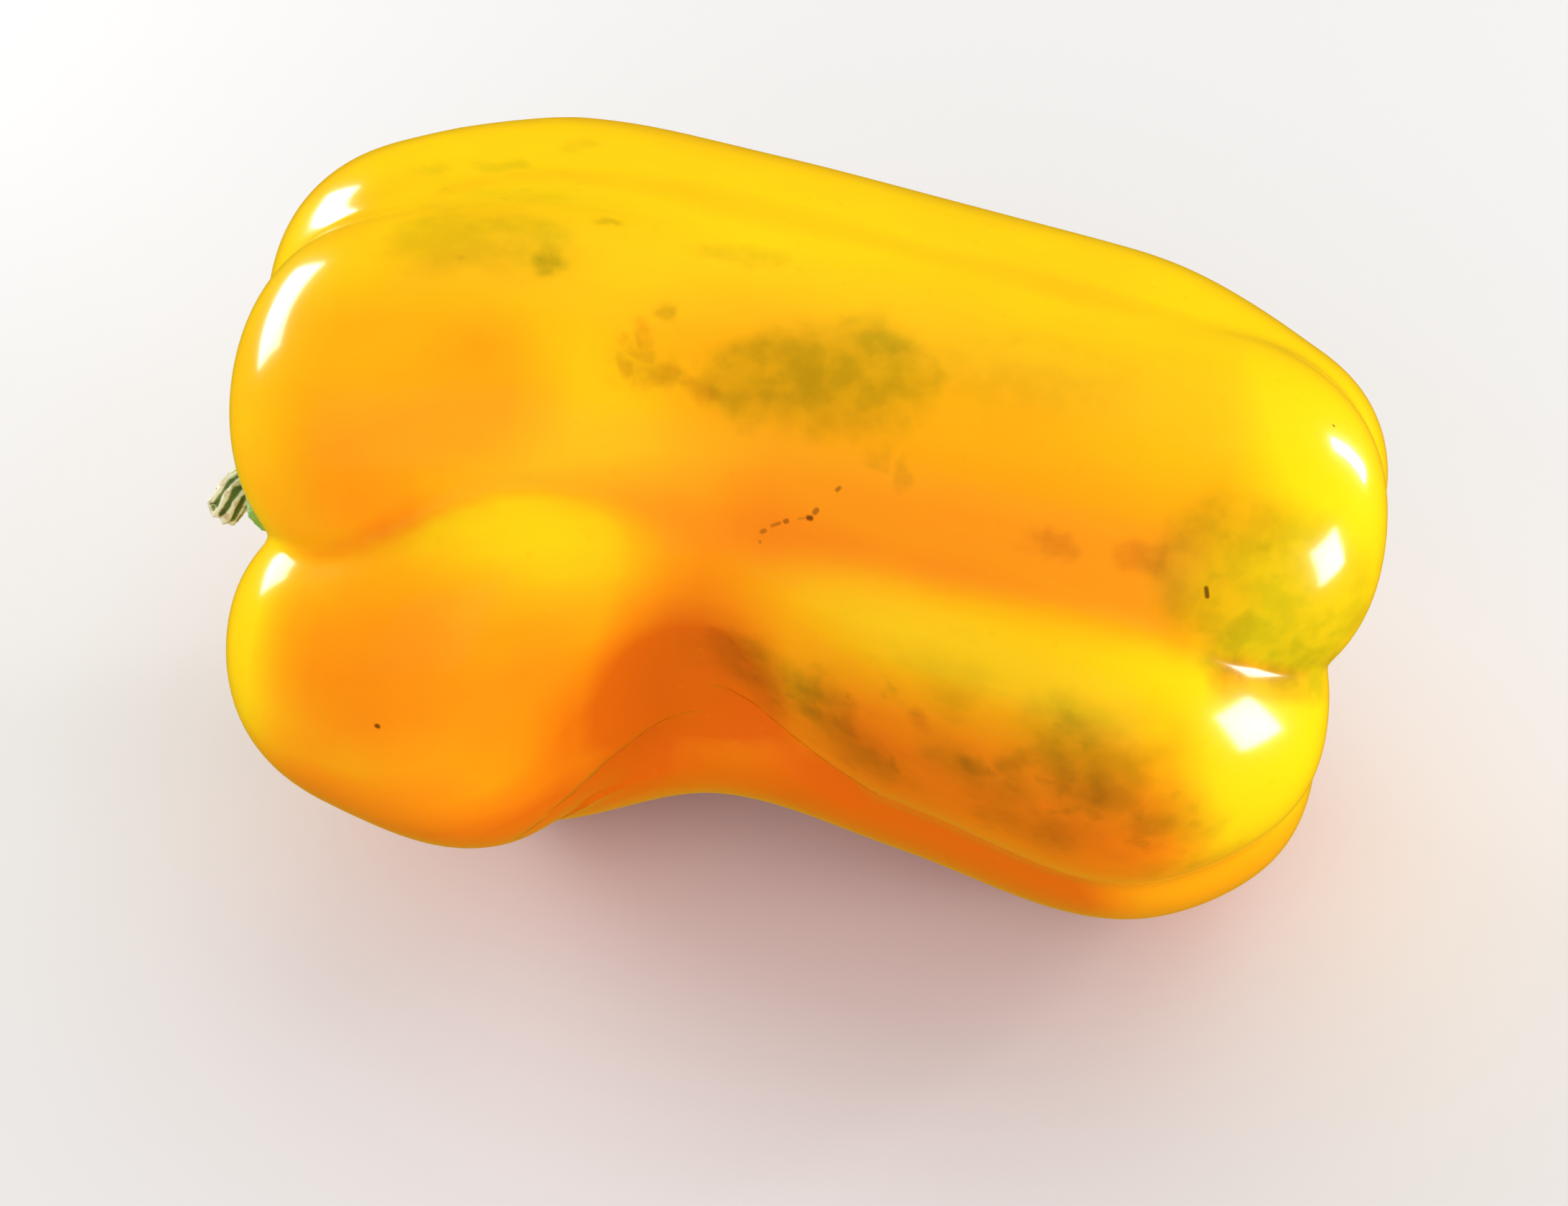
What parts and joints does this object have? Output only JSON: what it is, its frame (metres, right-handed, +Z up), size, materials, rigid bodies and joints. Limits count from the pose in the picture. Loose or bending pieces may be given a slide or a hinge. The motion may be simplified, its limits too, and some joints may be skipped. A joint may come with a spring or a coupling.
{
  "type": "bell pepper",
  "caption": "Long, bent yellow bell pepper lying on its side, lobed and pinched at the waist, with its cut green stem and calyx.",
  "frame": {"origin": "on the resting surface, under the middle of the part's bounding box", "axes": "+X from the stem end to the blossom end, +Z up, -Y the side with the pinched waist"},
  "size_m": [0.1602, 0.1036, 0.0932],
  "materials": {
    "skin": "glossy waxy yellow to orange pepper skin with olive green blotches",
    "stem": "matt green stem and calyx with pale dry ribs"
  },
  "bodies": {
    "root": {"fruit": "skin", "stem": "stem"}
  },
  "joints": []
}
